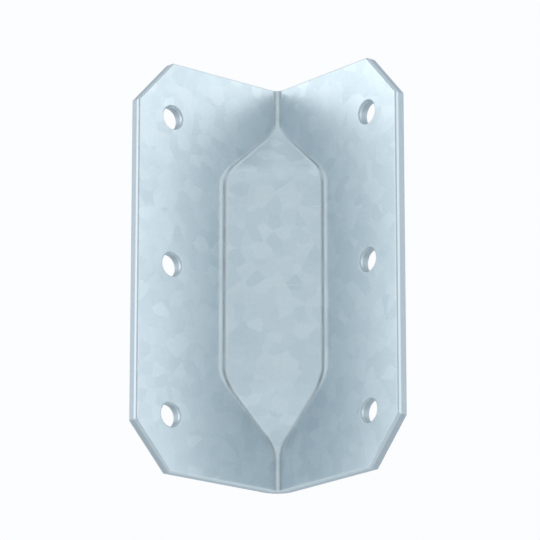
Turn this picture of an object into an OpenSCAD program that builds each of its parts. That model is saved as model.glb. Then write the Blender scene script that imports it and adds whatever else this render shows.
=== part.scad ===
// Gusset angle: a steel sheet cropped at its corners, folded to 90 degrees along a bend, with a
// long diagonal gusset pressed into the bend and a row of nail holes in each leg.
// +Z runs along the bend, one leg runs towards +X and the other towards -Y. The angle stands on
// its lower end, and the origin is below the middle of its box.

/* [Sheet] */
// Thickness of the steel sheet
sheet_t = 1.9; // [1.2:0.1:2.5]
// Length of the angle along its bend
angle_len = 69.85; // [55:0.05:120]
// Width of each leg, over the outside of the bend
leg_w = 31.75; // [28:0.05:60]
// Radius inside the bend
bend_r = 1.5; // [0.8:0.1:2.5]

/* [Cropped corners] */
// How far a crop runs in along the end of a leg
crop_w = 7.1; // [2:0.1:10]
// How far a crop runs in along the free edge of a leg
crop_len = 7.7; // [2:0.1:12]

/* [Nail holes] */
// Diameter of a nail hole
hole_d = 3.97; // [3:0.01:5]
// Number of nail holes in each leg
hole_count = 3; // [2:1:4]
// From an end of the angle to the middle of the nearest hole
hole_end = 9.525; // [8:0.025:12]
// From the free edge of a leg to the middle of its holes
hole_edge = 7.15; // [6:0.05:9]

/* [Gusset] */
// From the inside corner, along a leg, to the fold where the gusset's web leaves it
gusset_reach = 12; // [6:0.1:14]
// From an end of the angle to the point of the gusset
gusset_gap = 5.5; // [3:0.1:9]
// Length of the taper from the point of the gusset to its full reach
taper_len = 13.8; // [10:0.1:16]
// Length over which the point grows out of the plain bend
point_blend = 4; // [2:0.1:5]
// Length over which the taper levels off at the full reach
shoulder_blend = 4; // [2.5:0.1:5]
// Radius inside the folds at the full reach
fold_r = 2.5; // [1.5:0.1:3]

/* [Hidden] */
$fn = 96;
steel = [0.74, 0.81, 0.85];
// Flat strip left beside the folds, where the legs lap onto the pressed middle
lap = 0.6;
// How far a bore runs past both faces of the sheet
run_out = 1;
// Facets across each 45 degree fold, and lengthwise over each blend
fold_steps = 10;
blend_steps = 10;

half_fold = 45;
inner_w = leg_w - sheet_t;
// The inside corner lies at [-corner, corner]
corner = leg_w / 2 - sheet_t;
hole_pitch = (angle_len - 2 * hole_end) / (hole_count - 1);
hole_in = inner_w - hole_edge;

// The two folds of a section start at a tangent point on each leg. On the plain bend that is one
// radius from the corner, and the folds meet. At the full reach they lie far apart.
full_tangent = gusset_reach + fold_r * tan(half_fold / 2);
tangent_rise = full_tangent - bend_r;
taper_slope = 1 / (taper_len - point_blend / 2 - shoulder_blend / 2);
strip_w = full_tangent + 2 * lap;

// Share of the full gusset at a distance from its point: a parabola out of the bend, a straight
// taper, and a parabola into the full reach. The second function is its slope.
function share(s) =
    s <= 0 ? 0 :
    s < point_blend ? taper_slope * s * s / (2 * point_blend) :
    s < taper_len - shoulder_blend ? taper_slope * (s - point_blend / 2) :
    s < taper_len ? 1 - taper_slope * pow(taper_len - s, 2) / (2 * shoulder_blend) : 1;
function share_slope(s) =
    s <= 0 || s >= taper_len ? 0 :
    s < point_blend ? taper_slope * s / point_blend :
    s < taper_len - shoulder_blend ? taper_slope :
    taper_slope * (taper_len - s) / shoulder_blend;

// Heights of the sections, from the lower end to the middle, and mirrored for the upper half
lower_z = concat(
    [0],
    [for (i = [0:blend_steps]) gusset_gap + point_blend * i / blend_steps],
    [for (i = [0:blend_steps])
        gusset_gap + taper_len - shoulder_blend + shoulder_blend * i / blend_steps]
);
half_count = len(lower_z);
section_z = concat(lower_z, [for (i = [half_count - 1:-1:0]) angle_len - lower_z[i]]);

// One point of the sheet: side 0 is the leg along +X and side 1 its mirror image along -Y, turn
// is how far round the fold it lies, and depth is how far it is behind the inner face. The point
// is moved back square to the inner face, so the sheet keeps its thickness on every slope.
function fold_point(z, side, turn, depth) =
    let (
        upper = z > angle_len / 2,
        s = (upper ? angle_len - z : z) - gusset_gap,
        rate = (upper ? -1 : 1) * share_slope(s),
        radius = bend_r + (fold_r - bend_r) * share(s),
        tangent = bend_r + tangent_rise * share(s),
        across = sin(turn),
        back = cos(turn),
        rise = tangent_rise * rate * across - (fold_r - bend_r) * rate * (1 - back),
        square = depth / sqrt(1 + rise * rise),
        u = tangent - radius * across - square * across,
        v = radius * (1 - back) - square * back
    )
    place(u, v, z + square * rise, side);

// A section point u along a leg from the inside corner and v in from its face, in the part's frame
function place(u, v, z, side) =
    side == 0 ? [u - corner, corner - v, z] : [v - corner, corner - u, z];

// Columns of a section, from the lap on one leg, round both folds, to the lap on the other
function section(z, depth) = concat(
    [place(strip_w, -depth, z, 0)],
    [for (i = [0:fold_steps]) fold_point(z, 0, half_fold * i / fold_steps, depth)],
    [for (i = [fold_steps:-1:0]) fold_point(z, 1, half_fold * i / fold_steps, depth)],
    [place(strip_w, -depth, z, 1)]
);
columns = 2 * fold_steps + 4;
rows = len(section_z);

// On the plain bend the two folds share their middle point, so its second copy isn't used
no_share = 1e-9;
function is_plain(row) =
    share(min(section_z[row], angle_len - section_z[row]) - gusset_gap) < no_share;
function vertex(face, row, column) =
    (face * rows + row) * columns
    + (column == fold_steps + 2 && is_plain(row) ? fold_steps + 1 : column);

function quad(a, b, c, d) = [for (t = [[a, b, c], [a, c, d]])
    if (t[0] != t[1] && t[1] != t[2] && t[2] != t[0]) t];

// The pressed middle of the angle: the bend, the gusset and a lap of each leg
module pressed_bend() {
    last_row = rows - 1;
    last_column = columns - 1;
    inner_skin = [for (r = [0:last_row - 1], c = [0:last_column - 1])
        each quad(vertex(0, r, c), vertex(0, r, c + 1), vertex(0, r + 1, c + 1), vertex(0, r + 1, c))];
    outer_skin = [for (r = [0:last_row - 1], c = [0:last_column - 1])
        each quad(vertex(1, r, c), vertex(1, r + 1, c), vertex(1, r + 1, c + 1), vertex(1, r, c + 1))];
    ends = [for (c = [0:last_column - 1]) each concat(
        quad(vertex(0, 0, c), vertex(1, 0, c), vertex(1, 0, c + 1), vertex(0, 0, c + 1)),
        quad(vertex(0, last_row, c), vertex(0, last_row, c + 1),
            vertex(1, last_row, c + 1), vertex(1, last_row, c)))];
    laps = [for (r = [0:last_row - 1]) each concat(
        quad(vertex(0, r, 0), vertex(0, r + 1, 0), vertex(1, r + 1, 0), vertex(1, r, 0)),
        quad(vertex(0, r, last_column), vertex(1, r, last_column),
            vertex(1, r + 1, last_column), vertex(0, r + 1, last_column)))];
    polyhedron(
        points = [for (depth = [0, sheet_t], z = section_z) each section(z, depth)],
        faces = concat(inner_skin, outer_skin, ends, laps)
    );
}

// A flat leg with its outer corners cropped, lapped onto the pressed middle
module leg_plate() {
    translate([-corner, corner + sheet_t, 0])
        rotate([90, 0, 0])
            linear_extrude(sheet_t)
                polygon([
                    [strip_w - lap, 0],
                    [inner_w - crop_w, 0],
                    [inner_w, crop_len],
                    [inner_w, angle_len - crop_len],
                    [inner_w - crop_w, angle_len],
                    [strip_w - lap, angle_len]
                ]);
}

// The nail holes of one leg
module leg_bores() {
    for (i = [0:hole_count - 1])
        translate([hole_in - corner, corner + sheet_t + run_out, hole_end + i * hole_pitch])
            rotate([90, 0, 0])
                cylinder(d = hole_d, h = sheet_t + 2 * run_out);
}

// Both legs are alike: one is the mirror image of the other across the plane through the bend
module both_legs() {
    children();
    mirror([1, 1, 0]) children();
}

module gusset_angle() {
    color(steel)
        difference() {
            union() {
                pressed_bend();
                both_legs() leg_plate();
            }
            both_legs() leg_bores();
        }
}

gusset_angle();
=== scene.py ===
import math

import bmesh
import bpy
import numpy as np
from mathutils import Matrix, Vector


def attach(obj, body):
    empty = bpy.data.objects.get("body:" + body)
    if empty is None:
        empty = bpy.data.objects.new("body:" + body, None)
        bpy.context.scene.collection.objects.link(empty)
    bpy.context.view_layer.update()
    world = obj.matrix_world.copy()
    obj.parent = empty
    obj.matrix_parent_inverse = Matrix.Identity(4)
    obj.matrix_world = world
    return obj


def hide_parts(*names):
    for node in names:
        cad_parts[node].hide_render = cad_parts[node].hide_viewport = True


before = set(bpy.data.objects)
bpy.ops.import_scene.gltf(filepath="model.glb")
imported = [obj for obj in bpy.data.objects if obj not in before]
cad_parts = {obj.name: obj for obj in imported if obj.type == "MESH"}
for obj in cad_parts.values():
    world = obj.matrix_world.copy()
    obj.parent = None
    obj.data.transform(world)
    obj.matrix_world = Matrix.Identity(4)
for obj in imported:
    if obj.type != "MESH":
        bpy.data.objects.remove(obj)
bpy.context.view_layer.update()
mm = 0.001
print("frame loaded, nodes:", sorted(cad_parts))


cameraView = {
    "place": (0.464054, -0.388020, -0.145042),  # below the angle, in front of its open side
    "aim": (-0.014167, 0.012368, 0.037972),
    "lens": 258.44,
    "sensor": 36.0,
    "near": 0.01,
    "far": 20.0,
}


def turnTowards(thing, aim):
    # A camera or a lamp looks along its own -Z
    sight = Vector(aim) - thing.location
    thing.rotation_euler = sight.to_track_quat("-Z", "Y").to_euler()


def makeCamera(view):
    data = bpy.data.cameras.new("camera")
    data.lens = view["lens"]
    data.sensor_width = view["sensor"]
    data.clip_start = view["near"]
    data.clip_end = view["far"]
    camera = bpy.data.objects.new("camera", data)
    camera.location = view["place"]
    turnTowards(camera, view["aim"])
    bpy.context.scene.collection.objects.link(camera)
    bpy.context.scene.camera = camera


makeCamera(cameraView)
print("camera set")


# Sizes in millimetres, as in the part's source
sheetSize = {
    "thickness": 1.9,
    "length": 69.85,        # along the bend
    "legWidth": 31.75,      # over the outside of the bend
    "bendRadius": 1.5,      # inside the plain bend
    "cropAcross": 7.1,
    "cropAlong": 7.7,
    "gussetReach": 12.0,    # from the inside corner to where the web leaves a leg
    "gussetGap": 5.5,       # from an end to the point of the gusset
    "taperLength": 13.8,
    "pointBlend": 4.0,
    "shoulderBlend": 4.0,
    "foldRadius": 2.5,      # inside the folds at the full reach
    "holeDiameter": 3.97,
    "holeEnd": 9.525,       # from an end to the middle of the nearest hole
    "holeEdge": 7.15,       # from the free edge to the middle of a hole
    "lap": 0.6,             # two of these are left flat beside a fold, before the leg begins
}

# How the shears and the punch leave the edges, in millimetres, and how fine the surface is
sheetFinish = {
    "rollover": 0.24,       # radius where the blade or punch enters, on the inner face
    "burrSide": 0.10,       # radius where it leaves, on the outer face
    "cornerRadius": 0.25,   # of the outline, seen flat
    "bendWear": 0.35,       # how much the press rubs the plain bend, beside 1 at the full reach
    "support": 0.5,         # flat ring kept beside every edge
    "ringGaps": (0.10, 0.08, 0.06, 0.08),   # from the two arrises to the rings on either side
    "mitreClear": 0.6,      # from a corner of the outline to the next point along the crop
    "nearCrop": (0.93, 0.022),              # the points next to a crop, as shares of end and side
    "webSteps": 10,         # columns across the web, and round each fold
    "foldSteps": 20,
    "besideFold": 0.2,      # where the next column lies, as a share of the flat beside the fold
    "endSteps": 3,          # rows below the gusset, over a blend, the taper and the middle
    "blendSteps": 20,
    "taperSteps": 10,
    "middleSteps": 6,
    "legSteps": 7,          # rings from a hole to the outline round it
    "seamPoints": 11,       # points across a leg between two holes
    "arcPoints": 7,         # points of an arris, and of a corner of the outline
    "cornerPoints": 6,
    "endPoints": 9,         # points of an end, a crop, and a side below and beside the middle hole
    "cropPoints": 9,
    "sidePoints": 15,
    "middlePoints": 9,
    "cutSpread": 0.25,      # how far the lines of a cut edge change across the thickness
    "holeShift": 0.3,       # keeps the lines in one hole from being those in the next
    "weld": 0.002,          # points closer than this are one point
    "sliver": 0.0001,       # edges shorter than this are dissolved
}

deep = sheetSize["thickness"]
halfFold = math.pi / 4
corner = sheetSize["legWidth"] / 2 - deep
innerWidth = sheetSize["legWidth"] - deep
fullTangent = sheetSize["gussetReach"] + sheetSize["foldRadius"] * math.tan(halfFold / 2)
tangentRise = fullTangent - sheetSize["bendRadius"]
radiusRise = sheetSize["foldRadius"] - sheetSize["bendRadius"]
stripWidth = fullTangent + 2 * sheetSize["lap"]
holeRadius = sheetSize["holeDiameter"] / 2
holeAlong = innerWidth - sheetSize["holeEdge"]
# Each leg has three holes, and is laid out in three bands, one round each of them
holeEnds = (sheetSize["holeEnd"], sheetSize["length"] / 2,
            sheetSize["length"] - sheetSize["holeEnd"])
bandEnds = (0.0, (holeEnds[0] + holeEnds[1]) / 2, (holeEnds[1] + holeEnds[2]) / 2,
            sheetSize["length"])
tiny = 1e-6     # slack where heights are compared


def gussetShare(z):
    # The share of the full gusset at height z is a parabola out of the plain bend, a straight
    # taper and a parabola into the full reach. Its slope is returned with it.
    size = sheetSize
    upper = z > size["length"] / 2
    s = np.where(upper, size["length"] - z, z) - size["gussetGap"]
    point, shoulder, taper = size["pointBlend"], size["shoulderBlend"], size["taperLength"]
    rate = 1 / (taper - point / 2 - shoulder / 2)
    where = [s <= 0, s < point, s < taper - shoulder, s < taper]
    share = np.select(where, [
        0 * s,
        rate * s ** 2 / (2 * point),
        rate * (s - point / 2),
        1 - rate * (taper - s) ** 2 / (2 * shoulder),
    ], 1.0)
    slope = np.select(where, [
        0 * s,
        rate * s / point,
        rate + 0 * s,
        rate * (taper - s) / shoulder,
    ], 0.0)
    return share, np.where(upper, -slope, slope)


def pressSheet(across, z, depth):
    # A place on the flat blank, carried to where the press leaves it. The size of across says
    # how far out it lies: 0 to 1 is the straight web of the gusset, 1 to 2 the fold, an arc that
    # turns from 45 degrees to none, 2 to 3 the flat up to the edge of the pressed strip, and
    # beyond 3 the leg in millimetres. Its sign is the leg. Depth goes back from the inner face,
    # square to it, so the sheet keeps its thickness on every slope.
    bendRadius = sheetSize["bendRadius"]
    out = np.abs(across)
    share, slope = gussetShare(z)
    radius = bendRadius + radiusRise * share
    turn = halfFold * np.clip(2 - out, 0, 1)
    sine, cosine = np.sin(turn), np.cos(turn)
    rise = tangentRise * slope * sine - radiusRise * slope * (1 - cosine)
    square = depth / np.sqrt(1 + rise ** 2)
    u = bendRadius + tangentRise * share - (radius + square) * sine
    v = radius * (1 - cosine) - square * cosine
    middle = (u + v) / 2
    web = np.clip(out, 0, 1)
    u, v = middle + (u - middle) * web, middle + (v - middle) * web
    u = u + (stripWidth - u) * np.clip(out - 2, 0, 1) + np.maximum(out - 3, 0)
    firstLeg = across >= 0
    return np.stack([
        np.where(firstLeg, u, v) - corner,
        corner - np.where(firstLeg, v, u),
        z + square * rise,
    ], axis=-1)


def onLeg(side, u):
    # Where a distance u along a leg from the inside corner lies on the blank
    return side * (3 + u - stripWidth)


def stripColumns():
    # Columns from one leg to the other: even over the web and over each fold, and two beside it
    finish = sheetFinish
    half = np.concatenate([
        np.linspace(0, 1, finish["webSteps"] // 2 + 1),
        np.linspace(1, 2, finish["foldSteps"] + 1)[1:],
        [2 + finish["besideFold"], 3.0],
    ])
    return np.concatenate([-half[:0:-1], half])


def stripRows():
    # Heights of the rows: close together over the blends, wider over the straight lengths
    size, finish = sheetSize, sheetFinish
    gap, full = size["gussetGap"], size["gussetGap"] + size["taperLength"]
    straight, levelling = gap + size["pointBlend"], full - size["shoulderBlend"]
    lower = np.concatenate([
        np.linspace(finish["support"], gap, finish["endSteps"] + 1),
        np.linspace(gap, straight, finish["blendSteps"] + 1)[1:],
        np.linspace(straight, levelling, finish["taperSteps"] + 1)[1:],
        np.linspace(levelling, full, finish["blendSteps"] + 1)[1:],
        np.linspace(bandEnds[1], size["length"] / 2, finish["middleSteps"] + 1),
    ])
    return np.unique(np.round(np.concatenate([lower, size["length"] - lower]), 9))


def edgeProfile():
    # The cut edge as (inset, depth) from the inner face to the outer one: a quarter arc where
    # the blade enters, the straight wall, and a smaller quarter arc where it leaves
    finish = sheetFinish
    turn = np.linspace(0, math.pi / 2, finish["arcPoints"])
    enter, leave, support = finish["rollover"], finish["burrSide"], finish["support"]
    onInner, belowInner, aboveOuter, onOuter = finish["ringGaps"]
    entering = np.stack([enter * (1 - np.sin(turn)), enter * (1 - np.cos(turn))], axis=1)
    leaving = np.stack([leave * (1 - np.cos(turn)), deep - leave * (1 - np.sin(turn))], axis=1)
    wall = np.array([[0, enter + belowInner], [0, deep / 2], [0, deep - leave - aboveOuter]])
    return np.concatenate([
        [[support, 0], [enter + onInner, 0]], entering, wall, leaving,
        [[leave + onOuter, deep], [support, deep]],
    ])


def cornerPoints(at, before, after):
    # An outline corner as rows of (place, inward mitre, radius, outward direction)
    mitre = (before + after) / (1 + before @ after)
    angle = np.linspace(0, 1, sheetFinish["cornerPoints"])[:, None]
    outward = -(before * (1 - angle) + after * angle)
    outward /= np.linalg.norm(outward, axis=1)[:, None]
    one = np.ones_like(angle)
    return np.hstack([at * one, mitre * one, sheetFinish["cornerRadius"] * one, outward])


def straightPoints(start, end, inward, shares):
    # Points between two corners, clear of their mitres
    shares = np.asarray(shares)[:, None]
    place = start + (end - start) * shares
    one = np.ones_like(shares)
    return np.hstack([place, inward * one, 0 * one, 0 * place])


def legOutline():
    # The outline of a leg's lower half in (u, z), from the pressed strip to mid-height
    size, finish = sheetSize, sheetFinish
    foot = np.array([innerWidth - size["cropAcross"], 0.0])
    side = np.array([innerWidth, size["cropAlong"]])
    down = np.array([stripWidth, 0.0])
    top = np.array([innerWidth, size["length"] / 2])
    up, left = np.array([0.0, 1.0]), np.array([-1.0, 0.0])
    cropLength = np.linalg.norm(side - foot)
    crop = (side - foot) / cropLength
    slant = np.array([-crop[1], crop[0]])
    clear = finish["mitreClear"] / cropLength
    lastEnd, firstSide = finish["nearCrop"]
    seam = (bandEnds[1] - side[1]) / (top[1] - side[1])
    belowSeam = seam * np.linspace(0, 1, finish["sidePoints"])[1:-1]
    aboveSeam = np.linspace(seam, 1, finish["middlePoints"])
    return np.vstack([
        straightPoints(down, foot, up,
                       np.append(np.linspace(0, 1, finish["endPoints"])[:-1], lastEnd)),
        cornerPoints(foot, up, slant),
        straightPoints(foot, side, slant, np.linspace(clear, 1 - clear, finish["cropPoints"])),
        cornerPoints(side, slant, left),
        straightPoints(side, top, left, np.concatenate([[firstSide], belowSeam, aboveSeam])),
    ])


def mirroredUp(points):
    # The upper half of a leg's outline, in walking order after the lower half
    upper = points[::-1].copy()
    upper[:, 1] = sheetSize["length"] - upper[:, 1]
    upper[:, [3, 6]] *= -1
    return upper


def insetOutline(points, inset):
    # Every ring round the sheet is the outline moved in by an inset, its corners tightening
    # until they are sharp
    place, mitre, radius, outward = points[:, :2], points[:, 2:4], points[:, 4:5], points[:, 5:7]
    return place + mitre * np.maximum(radius, inset) + outward * np.maximum(radius - inset, 0)


def lengthAlong(path):
    # Running length of a path of points
    steps = np.linalg.norm(np.diff(path, axis=0), axis=1)
    return np.concatenate([[0.0], np.cumsum(steps)])


def gridFaces(rows, columns, first, closed=False, turned=False):
    # Quads between neighbouring rows and columns of a grid whose vertices start at first
    row, column = np.meshgrid(
        np.arange(rows - 1), np.arange(columns if closed else columns - 1), indexing="ij")
    after = (column + 1) % columns
    quads = np.stack([
        row * columns + column, row * columns + after,
        (row + 1) * columns + after, (row + 1) * columns + column,
    ], axis=-1).reshape(-1, 4) + first
    return quads[:, ::-1] if turned else quads


profile = edgeProfile()
profileInset, profileDepth = profile[:, :1], profile[:, 1:]
rowHeights, columnPlaces = stripRows(), stripColumns()
# Each is (places, across, depth, inset, place on a cut edge, closed ring, turned round)
sheetParts = []


def addGrid(across, z, depth, inset=1.0, cutTurn=0.0, cutRadius=0.0, closed=False, turned=False):
    across, z, depth, inset, cutTurn = np.broadcast_arrays(across, z, depth, inset, cutTurn)
    # A cut edge is laid round a ring of its own length, so that its lines meet where it closes
    cutPlace = np.stack([
        cutRadius * np.cos(cutTurn), cutRadius * np.sin(cutTurn),
        sheetFinish["cutSpread"] * depth / deep,
    ], axis=-1)
    places = pressSheet(across, z, depth)
    sheetParts.append((places, across, depth, inset, cutPlace, closed, turned))


def bandRing(border, low, high):
    # The outline of the flat band round a hole: the leg's border, the seam with the band above,
    # the edge of the pressed strip and the seam with the band below
    support, length = sheetFinish["support"], sheetSize["length"]
    seam = np.linspace(stripWidth, innerWidth - support, sheetFinish["seamPoints"])
    lowest, highest = max(low, support), min(high, length - support)
    inner = rowHeights[(rowHeights > lowest + tiny) & (rowHeights < highest - tiny)]
    parts = [border[(border[:, 1] >= low - tiny) & (border[:, 1] <= high + tiny)]]
    if high < length:
        parts.append(np.stack([seam[-2::-1], np.full(len(seam) - 1, high)], axis=1))
    parts.append(np.stack([np.full(len(inner), stripWidth), inner[::-1]], axis=1))
    if low > 0:
        parts.append(np.stack([seam[:-1], np.full(len(seam) - 1, low)], axis=1))
    return np.concatenate(parts)


def addHole(side, ring, middle, shift):
    # Flat rays from the hole's ring out to the outline of its band, front and back, and the wall
    # of the hole, which is the edge profile carried round a circle
    angle = np.arctan2(ring[:, 1] - middle[1], ring[:, 0] - middle[0])
    outward = np.stack([np.cos(angle), np.sin(angle)], axis=1)
    start = middle + outward * (holeRadius + sheetFinish["support"])
    steps = np.linspace(0, 1, sheetFinish["legSteps"] + 1)[:, None, None]
    flat = start + (ring - start) * steps
    addGrid(onLeg(side, flat[..., 0]), flat[..., 1], 0.0, closed=True, turned=side > 0)
    addGrid(onLeg(side, flat[..., 0]), flat[..., 1], deep, closed=True, turned=side < 0)
    wall = middle + outward * (holeRadius + profileInset)[:, :, None]
    addGrid(onLeg(side, wall[..., 0]), wall[..., 1], profileDepth, profileInset,
            angle, holeRadius + shift, closed=True, turned=side < 0)


# The pressed strip, front and back
addGrid(columnPlaces[None, :], rowHeights[:, None], 0.0)
addGrid(columnPlaces[None, :], rowHeights[:, None], deep, turned=True)

lowerLeg = legOutline()
oneLeg = np.vstack([lowerLeg, mirroredUp(lowerLeg)[1:]])
border = insetOutline(oneLeg, sheetFinish["support"])
edge = np.stack([insetOutline(oneLeg, step) for step in profile[:, 0]])
# Running lengths along an end of the strip and along a leg's outline, and their sum, which is
# half the way round the sheet's cut edge
endLength = lengthAlong(pressSheet(columnPlaces, 0 * columnPlaces, deep / 2))
legLength = lengthAlong(oneLeg[:, :2])
halfWay = endLength[-1] + legLength[-1]
cutRadius = halfWay / math.pi
for side in (1, -1):
    for band, holeEnd in enumerate(holeEnds):
        addHole(side, bandRing(border, bandEnds[band], bandEnds[band + 1]),
                np.array([holeAlong, holeEnd]), sheetFinish["holeShift"] * band)
    # The cut edge of the leg is the same profile carried along its outline
    addGrid(onLeg(side, edge[..., 0]), edge[..., 1], profileDepth, profileInset,
            side * math.pi * (endLength[-1] / 2 + legLength) / halfWay, cutRadius, turned=side > 0)

# The ends of the pressed strip
fromMiddle = math.pi * (endLength - endLength[-1] / 2) / halfWay
addGrid(columnPlaces[None, :], profileInset, profileDepth, profileInset,
        fromMiddle, cutRadius, turned=True)
addGrid(columnPlaces[None, :], sheetSize["length"] - profileInset, profileDepth, profileInset,
        math.pi - fromMiddle, cutRadius)
print("sheet laid out in", len(sheetParts), "grids")


def surfaceMarks():
    # What the material follows over the surface: cutShare is 1 on a cut wall and fades over its
    # rounded arrises, arris is 1 at an edge and fades over the flat beside it, cutDepth runs
    # from the inner face to the outer, cutPlace round the edge as well, and foldWear is highest
    # in the middle of a fold, where the press rubs
    marks = {"cutShare": [], "arris": [], "cutDepth": [], "cutPlace": [], "foldWear": []}
    plain = sheetFinish["bendWear"]
    for points, across, depth, inset, cutPlace, closed, turned in sheetParts:
        share = gussetShare(points[..., 2])[0]
        bend = np.sin(np.pi * np.clip(np.abs(across) - 1, 0, 1))
        marks["cutShare"].append(np.clip(1 - inset / sheetFinish["burrSide"], 0, 1))
        marks["arris"].append(np.clip(1 - inset / sheetFinish["support"], 0, 1))
        marks["cutDepth"].append(depth / deep)
        marks["cutPlace"].append(cutPlace)
        marks["foldWear"].append(bend * (plain + (1 - plain) * share))
    return {label: np.concatenate([v.ravel() for v in values]) for label, values in marks.items()}


def makeSheet(name):
    # All the grids as one closed mesh, with the marks that the material follows
    quads, first = [], 0
    for points, across, depth, inset, cutPlace, closed, turned in sheetParts:
        quads.append(gridFaces(points.shape[0], points.shape[1], first, closed, turned))
        first += points.shape[0] * points.shape[1]
    places = np.concatenate([part[0].reshape(-1, 3) for part in sheetParts])
    mesh = bpy.data.meshes.new(name)
    mesh.from_pydata(places * mm, [], np.concatenate(quads).tolist())
    for label, values in surfaceMarks().items():
        vector = label == "cutPlace"
        layer = mesh.attributes.new(label, "FLOAT_VECTOR" if vector else "FLOAT", "POINT")
        layer.data.foreach_set("vector" if vector else "value", values.astype(np.float32))
    work = bmesh.new()
    work.from_mesh(mesh)
    bmesh.ops.remove_doubles(work, verts=work.verts, dist=sheetFinish["weld"] * mm)
    bmesh.ops.dissolve_degenerate(work, edges=work.edges, dist=sheetFinish["sliver"] * mm)
    bmesh.ops.recalc_face_normals(work, faces=work.faces)
    openEdges = sum(1 for e in work.edges if len(e.link_faces) != 2)
    for face in work.faces:
        face.smooth = True
    work.to_mesh(mesh)
    work.free()
    piece = bpy.data.objects.new(name, mesh)
    bpy.context.scene.collection.objects.link(piece)
    print(name, len(mesh.polygons), "faces,", openEdges, "open edges")
    return piece


gussetSheet = makeSheet("gusset_sheet")
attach(gussetSheet, "root")
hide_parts("gusset_angle")


galvanised = {
    "zinc": (0.82, 0.88, 0.91, 1.0),
    "zincDull": (0.70, 0.78, 0.82, 1.0),
    "zincRubbed": (0.86, 0.91, 0.93, 1.0),  # where the press and handling have rubbed it
    "cutBright": (0.70, 0.75, 0.78, 1.0),   # the sheared part of a cut edge
    "cutTorn": (0.56, 0.61, 0.65, 1.0),     # the part that broke away
    "spanglesPerMetre": 430.0,              # zinc crystals
    "spangleContrast": 0.72,
    "seamShare": 0.05,                      # width of the seam between two of them
    "fraysPerMetre": 1400.0,                # their frayed borders
    "frayReach": 0.0007,
    "needlesPerMetre": 2200.0,              # the feathering inside them
    "needleStretch": (1.0, 1.0, 0.10),
    "needleContrast": 0.9,
    "mottlesPerMetre": 60.0,                # broad clouding of the coat
    "mottleContrast": 0.50,
    "rollLinesPerMetre": 2600.0,            # grain along the bend
    "rollStretch": (1.0, 1.0, 0.05),
    "foldRub": 0.45,                        # how far a fold, an arris and a scratch are rubbed
    "arrisRub": 0.55,
    "scratchRub": 0.5,
    "roughness": 0.42,
    "crystalGloss": 0.05,                   # how much the roughness changes with the crystals
    "mottleGloss": 0.08,                    # and with the clouding
    "foldPolish": 0.08,                     # how much smoother the press leaves a fold
    "sheared": 0.36,                        # share of the thickness that the blade cuts clean
    "ragged": 0.22,                         # how unevenly it ends
    "tearBlend": 0.03,
    "shearedRoughness": 0.42,
    "tornRoughness": 0.58,
    "cutLinesPerMm": 9.0,                   # fine lines square to the faces
    "cutLineLevels": (0.25, 0.75),          # of their noise, from no shade to the full one
    "cutLineShade": 0.35,
    "scratches": (                          # of each noise only what rises past a level shows
        {"perMetre": 1500.0, "level": 0.69,
         "stretch": (1.0, 1.0, 0.035), "turn": (0.5, 0.35, 0.0)},
        {"perMetre": 1300.0, "level": 0.70,
         "stretch": (0.04, 0.04, 1.0), "turn": (0.25, -0.3, 0.2)},
    ),
    "scratchBlend": 0.07,
    "bump": 0.35,
    "bumpDepth": 0.00004,
    "relief": {"rollLines": 0.25, "seams": 0.10, "needles": 0.50, "scratches": -0.35},
    "cutRelief": 1.6,                       # of the lines on a cut edge
}


def addNode(tree, kind, spot, **values):
    node = tree.nodes.new(kind)
    node.location = spot
    for key, value in values.items():
        setattr(node, key, value)
    return node


def feed(tree, socket, value):
    # A socket takes another socket's output or a plain value
    if isinstance(value, bpy.types.NodeSocket):
        tree.links.new(value, socket)
    else:
        socket.default_value = value


def addMath(tree, spot, operation, first, second=0.0, third=0.0, clamp=False):
    node = addNode(tree, "ShaderNodeMath", spot, operation=operation, use_clamp=clamp)
    for socket, value in zip(node.inputs, (first, second, third)):
        feed(tree, socket, value)
    return node.outputs[0]


def addVectorMath(tree, spot, operation, *values):
    node = addNode(tree, "ShaderNodeVectorMath", spot, operation=operation)
    for socket, value in zip(node.inputs, values):
        feed(tree, socket, value)
    return node


def swing(tree, spot, value, size, middle=0.0):
    # A texture's 0 to 1 made a swing of a given size about a middle value
    return addMath(tree, spot, "MULTIPLY_ADD", value, size, middle - size / 2)


def addMix(tree, spot, factor, first, second, kind="RGBA"):
    node = addNode(tree, "ShaderNodeMix", spot, data_type=kind)
    feed(tree, node.inputs["Factor"], factor)
    feed(tree, node.inputs["A"], first)
    feed(tree, node.inputs["B"], second)
    return node.outputs["Result"]


def addRange(tree, spot, value, low, high, outLow=0.0, outHigh=1.0):
    node = addNode(tree, "ShaderNodeMapRange", spot, interpolation_type="SMOOTHSTEP")
    labels = ("Value", "From Min", "From Max", "To Min", "To Max")
    for label, number in zip(labels, (value, low, high, outLow, outHigh)):
        feed(tree, node.inputs[label], number)
    return node.outputs["Result"]


def addNoise(tree, spot, vector, scale, detail, roughness=0.5, output="Fac"):
    node = addNode(tree, "ShaderNodeTexNoise", spot)
    feed(tree, node.inputs["Vector"], vector)
    node.inputs["Scale"].default_value = scale
    node.inputs["Detail"].default_value = detail
    node.inputs["Roughness"].default_value = roughness
    return node.outputs[output]


def addCells(tree, spot, vector, scale, feature="F1"):
    node = addNode(tree, "ShaderNodeTexVoronoi", spot, feature=feature)
    feed(tree, node.inputs["Vector"], vector)
    node.inputs["Scale"].default_value = scale
    return node


def stretched(tree, spot, vector, scale, turn=(0.0, 0.0, 0.0)):
    node = addNode(tree, "ShaderNodeMapping", spot)
    feed(tree, node.inputs["Vector"], vector)
    node.inputs["Scale"].default_value = scale
    node.inputs["Rotation"].default_value = turn
    return node.outputs["Vector"]


def readMark(tree, spot, label, output="Fac"):
    return addNode(tree, "ShaderNodeAttribute", spot, attribute_name=label).outputs[output]


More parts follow.
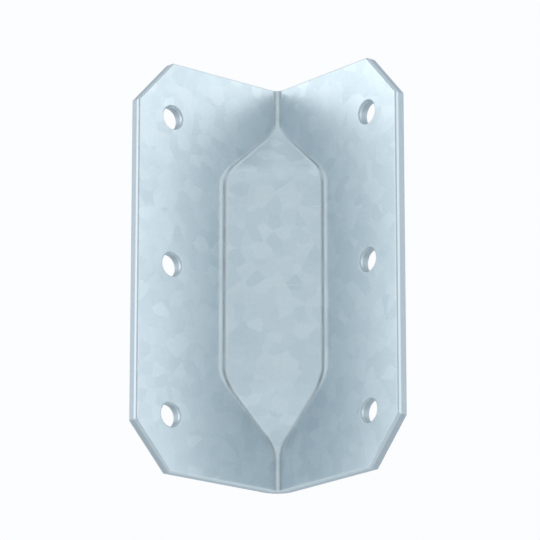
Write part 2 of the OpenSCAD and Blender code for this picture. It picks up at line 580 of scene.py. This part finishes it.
def zincCrystals(tree, place, look):
    # Cells with frayed borders, the seams between them, and the feathering inside: fine needles
    # that lie another way in each one
    fray = addNoise(tree, (-2300, 300), place, look["fraysPerMetre"],
                    detail=3.0, roughness=0.6, output="Color")
    reach = (look["frayReach"],) * 3
    shifted = addVectorMath(tree, (-2100, 300), "MULTIPLY_ADD", fray, reach, place).outputs[0]
    cells = addCells(tree, (-1900, 300), shifted, look["spanglesPerMetre"]).outputs["Color"]
    tones = addNode(tree, "ShaderNodeSeparateColor", (-1700, 300))
    feed(tree, tones.inputs[0], cells)
    borders = addCells(tree, (-1900, 0), shifted, look["spanglesPerMetre"], "DISTANCE_TO_EDGE")
    seams = addRange(tree, (-1700, 0), borders.outputs["Distance"], 0.0, look["seamShare"])
    heading = addVectorMath(tree, (-1700, 600), "MULTIPLY", cells, (2 * math.pi,) * 3)
    lean = addNode(tree, "ShaderNodeVectorRotate", (-1500, 600), rotation_type="EULER_XYZ")
    feed(tree, lean.inputs["Vector"], place)
    feed(tree, lean.inputs["Rotation"], heading.outputs[0])
    leaning = stretched(tree, (-1300, 600), lean.outputs[0], look["needleStretch"])
    needles = addNoise(tree, (-1100, 600), leaning, look["needlesPerMetre"],
                       detail=3.0, roughness=0.7)
    return tones.outputs[0], tones.outputs[1], seams, needles


def handlingScratches(tree, place, look):
    # Two noises, each stretched one way and turned
    shown = []
    for row, lines in enumerate(look["scratches"]):
        height = -650 - 200 * row
        lying = stretched(tree, (-2100, height), place, lines["stretch"], lines["turn"])
        noise = addNoise(tree, (-1900, height), lying, lines["perMetre"], detail=2.0)
        shown.append(addRange(tree, (-1700, height), noise,
                              lines["level"], lines["level"] + look["scratchBlend"]))
    return addMath(tree, (-1500, -700), "MAXIMUM", *shown)


def cutEdge(tree, look):
    # A cut edge is bright where the blade sheared it and torn and dull behind, with fine lines
    # square to the faces all along it. Its colour, roughness and lines are returned.
    cutDepth = readMark(tree, (-2600, -700), "cutDepth")
    cutPlace = readMark(tree, (-2600, -850), "cutPlace", "Vector")
    lines = addNoise(tree, (-2100, -1100), cutPlace, look["cutLinesPerMm"],
                     detail=3.0, roughness=0.6)
    uneven = swing(tree, (-1900, -1250), lines, look["ragged"])
    torn = addRange(tree, (-1500, -1250), addMath(tree, (-1700, -1250), "ADD", uneven, cutDepth),
                    look["sheared"] - look["tearBlend"], look["sheared"] + look["tearBlend"])
    wall = addMix(tree, (-700, -900), torn, look["cutBright"], look["cutTorn"])
    shade = addRange(tree, (-900, -1050), lines, *look["cutLineLevels"], 0.0, look["cutLineShade"])
    wall = addMix(tree, (-500, -900), shade, wall, look["zincDull"])
    gloss = addRange(tree, (-700, -1650), torn, 0.0, 1.0,
                     look["shearedRoughness"], look["tornRoughness"])
    return wall, gloss, lines


def makeGalvanised(look):
    material = bpy.data.materials.new("galvanisedSteel")
    material.use_nodes = True
    tree = material.node_tree
    shader = tree.nodes["Principled BSDF"]
    place = addNode(tree, "ShaderNodeTexCoord", (-2600, 0)).outputs["Object"]
    cutShare = readMark(tree, (-2600, -400), "cutShare")
    arris = readMark(tree, (-2600, -550), "arris")
    foldWear = readMark(tree, (-2600, -1000), "foldWear")
    tone, gloss, seams, needles = zincCrystals(tree, place, look)
    scratches = handlingScratches(tree, place, look)
    wall, wallGloss, cutLines = cutEdge(tree, look)

    # Broad clouding of the coat, and the fine grain that the rolls left along the bend
    mottle = addNoise(tree, (-1900, -250), place, look["mottlesPerMetre"],
                      detail=4.0, roughness=0.55)
    rolled = stretched(tree, (-2100, -450), place, look["rollStretch"])
    rollLines = addNoise(tree, (-1900, -450), rolled, look["rollLinesPerMetre"], detail=2.0)

    # How dull the coat is: crystals, clouding and feathering together
    dull = addMath(tree, (-1100, 200), "ADD",
                   swing(tree, (-1300, 300), tone, look["spangleContrast"], 0.5),
                   swing(tree, (-1300, 100), mottle, look["mottleContrast"]))
    dull = addMath(tree, (-900, 200), "ADD", dull,
                   swing(tree, (-1300, -100), needles, look["needleContrast"]), clamp=True)
    coat = addMix(tree, (-700, 300), dull, look["zinc"], look["zincDull"])

    # Rubbed places: the crowns of the folds, the arrises and the scratches
    rubbed = addMath(tree, (-900, -350), "MAXIMUM",
                     addMath(tree, (-1100, -300), "MULTIPLY", foldWear, look["foldRub"]),
                     addMath(tree, (-1100, -450), "MULTIPLY", arris, look["arrisRub"]))
    rubbed = addMath(tree, (-700, -350), "MAXIMUM", rubbed,
                     addMath(tree, (-900, -550), "MULTIPLY", scratches, look["scratchRub"]))
    coat = addMix(tree, (-500, 300), rubbed, coat, look["zincRubbed"])
    feed(tree, shader.inputs["Base Color"], addMix(tree, (-200, 300), cutShare, coat, wall))

    # Roughness follows the same marks
    gloss = addMath(tree, (-900, -1450), "ADD",
                    swing(tree, (-1100, -1450), gloss, look["crystalGloss"], look["roughness"]),
                    swing(tree, (-1100, -1600), mottle, look["mottleGloss"]))
    gloss = addMath(tree, (-700, -1450), "SUBTRACT", gloss,
                    addMath(tree, (-900, -1600), "MULTIPLY", foldWear, look["foldPolish"]))
    feed(tree, shader.inputs["Roughness"],
         addMix(tree, (-400, -1500), cutShare, gloss, wallGloss, "FLOAT"))

    # Relief: all the patterns of the faces, and the torn lines on the edges
    patterns = {"rollLines": rollLines, "seams": seams, "needles": needles, "scratches": scratches}
    face = 0.0
    for row, (label, pattern) in enumerate(patterns.items()):
        face = addMath(tree, (-1300 + 200 * row, -1900), "MULTIPLY_ADD",
                       pattern, look["relief"][label], face)
    cut = addMath(tree, (-900, -2250), "MULTIPLY", cutLines, look["cutRelief"])
    bump = addNode(tree, "ShaderNodeBump", (-300, -1950))
    bump.inputs["Strength"].default_value = look["bump"]
    bump.inputs["Distance"].default_value = look["bumpDepth"]
    feed(tree, bump.inputs["Height"], addMix(tree, (-500, -1950), cutShare, face, cut, "FLOAT"))
    feed(tree, shader.inputs["Normal"], bump.outputs["Normal"])
    shader.inputs["Metallic"].default_value = 1.0
    return material


gussetSheet.data.materials.append(makeGalvanised(galvanised))
print("material made")


studio = {
    "floorRadius": 3.0,
    "floorCorners": 96,
    "floorDrop": 0.0003,
    "floorPaint": (0.86, 0.86, 0.86, 1.0),
    "floorFade": (0.15, 1.2),               # where the floor starts to clear, and has cleared
    "boardPaint": (0.01, 0.01, 0.01, 1.0),
    "lampAim": (0.0, 0.0, 0.035),
    "backdrop": (0.97, 0.98, 0.99, 1.0),
    "backdropStrength": 1.0,
    "room": (0.84, 0.94, 1.0, 1.0),         # what the steel mirrors
    "roomStrength": 0.82,
}


def makeFloor(look):
    # A wide disc, seen from above and see-through from below, because the camera is under it
    turn = np.linspace(0, 2 * np.pi, look["floorCorners"], endpoint=False)
    ring = np.stack([np.cos(turn), np.sin(turn), 0 * turn], axis=1) * look["floorRadius"]
    ring[:, 2] = -look["floorDrop"]
    mesh = bpy.data.meshes.new("floor")
    mesh.from_pydata(ring, [], [list(range(len(ring)))])
    floor = bpy.data.objects.new("floor", mesh)
    bpy.context.scene.collection.objects.link(floor)
    material = bpy.data.materials.new("paleFloor")
    material.use_nodes = True
    tree = material.node_tree
    tree.nodes.clear()
    output = addNode(tree, "ShaderNodeOutputMaterial", (400, 0))
    paint = addNode(tree, "ShaderNodeBsdfDiffuse", (-200, 100))
    paint.inputs["Color"].default_value = look["floorPaint"]
    clear = addNode(tree, "ShaderNodeBsdfTransparent", (-200, -100))
    below = addNode(tree, "ShaderNodeNewGeometry", (-800, 200)).outputs["Backfacing"]
    place = addNode(tree, "ShaderNodeTexCoord", (-1000, 0)).outputs["Object"]
    far = addVectorMath(tree, (-800, 0), "LENGTH", place).outputs["Value"]
    faded = addRange(tree, (-600, 0), far, *look["floorFade"])
    mix = addNode(tree, "ShaderNodeMixShader", (100, 0))
    feed(tree, mix.inputs[0], addMath(tree, (-400, 100), "MAXIMUM", below, faded))
    feed(tree, mix.inputs[1], paint.outputs[0])
    feed(tree, mix.inputs[2], clear.outputs[0])
    feed(tree, output.inputs[0], mix.outputs[0])
    floor.data.materials.append(material)
    # It doesn't shade the angle, which has to be lit from below as well
    floor.visible_diffuse = False
    floor.visible_glossy = False
    floor.visible_transmission = False
    floor.visible_shadow = False


# Azimuths are turned from the front, -Y, towards +X. The steel opens towards 45 degrees.
softLights = {
    "left": {"azimuth": -42, "height": 0.34, "away": 1.3, "size": 1.1, "power": 2.2},
    "right": {"azimuth": 130, "height": 0.34, "away": 1.3, "size": 1.1, "power": 1.6},
}

# Dark boards that the folds mirror, so that they draw the gusset as narrow dark lines: tall ones
# for the long folds, and low and high ones for the slanting folds at the foot and at the top
darkBoards = {
    "frontLeft": {"azimuth": 8, "away": 1.0, "rise": 0.0, "width": 0.30, "height": 1.8},
    "frontRight": {"azimuth": 76, "away": 1.0, "rise": 0.0, "width": 0.30, "height": 1.8},
    "lowLeft": {"azimuth": -13, "away": 1.1, "rise": -0.45, "width": 0.30, "height": 0.3},
    "lowRight": {"azimuth": 93, "away": 1.1, "rise": -0.50, "width": 0.30, "height": 0.3},
    "highLeft": {"azimuth": -32, "away": 0.60, "rise": 0.92, "width": 0.42, "height": 0.6},
    "highRight": {"azimuth": 106, "away": 0.52, "rise": 0.97, "width": 0.42, "height": 0.6},
    "backLeft": {"azimuth": 270, "away": 1.0, "rise": 0.0, "width": 0.30, "height": 1.8},
    "backRight": {"azimuth": 180, "away": 1.0, "rise": 0.0, "width": 0.30, "height": 1.8},
}


def around(azimuth, away, height=0.0):
    # The place at a distance from the part, in a direction seen from above, and at a height
    turn = math.radians(azimuth)
    return Vector((away * math.sin(turn), -away * math.cos(turn), height))


def makeLights(lights, aim):
    for name, look in lights.items():
        data = bpy.data.lights.new(name, "AREA")
        data.shape = "DISK"
        data.size = look["size"]
        data.energy = look["power"]
        lamp = bpy.data.objects.new(name, data)
        lamp.location = around(look["azimuth"], look["away"], look["height"])
        turnTowards(lamp, aim)
        lamp.visible_camera = False
        bpy.context.scene.collection.objects.link(lamp)


def makeBoards(boards, colour):
    # Upright rectangles that face the part, seen only in reflections
    paint = bpy.data.materials.new("blackBoard")
    paint.use_nodes = True
    paint.node_tree.nodes["Principled BSDF"].inputs["Base Color"].default_value = colour
    for name, look in boards.items():
        middle = around(look["azimuth"], look["away"], look["rise"])
        side = around(look["azimuth"] + 90, look["width"] / 2)
        up = Vector((0, 0, look["height"] / 2))
        corners = [middle - side - up, middle + side - up, middle + side + up, middle - side + up]
        mesh = bpy.data.meshes.new(name + "Board")
        mesh.from_pydata(corners, [], [(0, 1, 2, 3)])
        mesh.materials.append(paint)
        board = bpy.data.objects.new(name + "Board", mesh)
        board.visible_camera = False
        board.visible_diffuse = False
        board.visible_shadow = False
        bpy.context.scene.collection.objects.link(board)


def makeWorld(look):
    # The steel mirrors a soft grey-blue room, and the floor and the camera see a pale backdrop
    world = bpy.data.worlds.new("studio")
    world.use_nodes = True
    tree = world.node_tree
    backdrop = tree.nodes["Background"]
    backdrop.inputs["Color"].default_value = look["backdrop"]
    backdrop.inputs["Strength"].default_value = look["backdropStrength"]
    room = addNode(tree, "ShaderNodeBackground", (0, -200))
    room.inputs["Color"].default_value = look["room"]
    room.inputs["Strength"].default_value = look["roomStrength"]
    ray = addNode(tree, "ShaderNodeLightPath", (-200, 300))
    mix = addNode(tree, "ShaderNodeMixShader", (250, 0))
    feed(tree, mix.inputs[0], ray.outputs["Is Glossy Ray"])
    feed(tree, mix.inputs[1], backdrop.outputs[0])
    feed(tree, mix.inputs[2], room.outputs[0])
    feed(tree, tree.nodes["World Output"].inputs[0], mix.outputs[0])
    bpy.context.scene.world = world


makeFloor(studio)
makeLights(softLights, studio["lampAim"])
makeBoards(darkBoards, studio["boardPaint"])
makeWorld(studio)
bpy.context.scene.view_settings.view_transform = "Standard"
print("studio made")
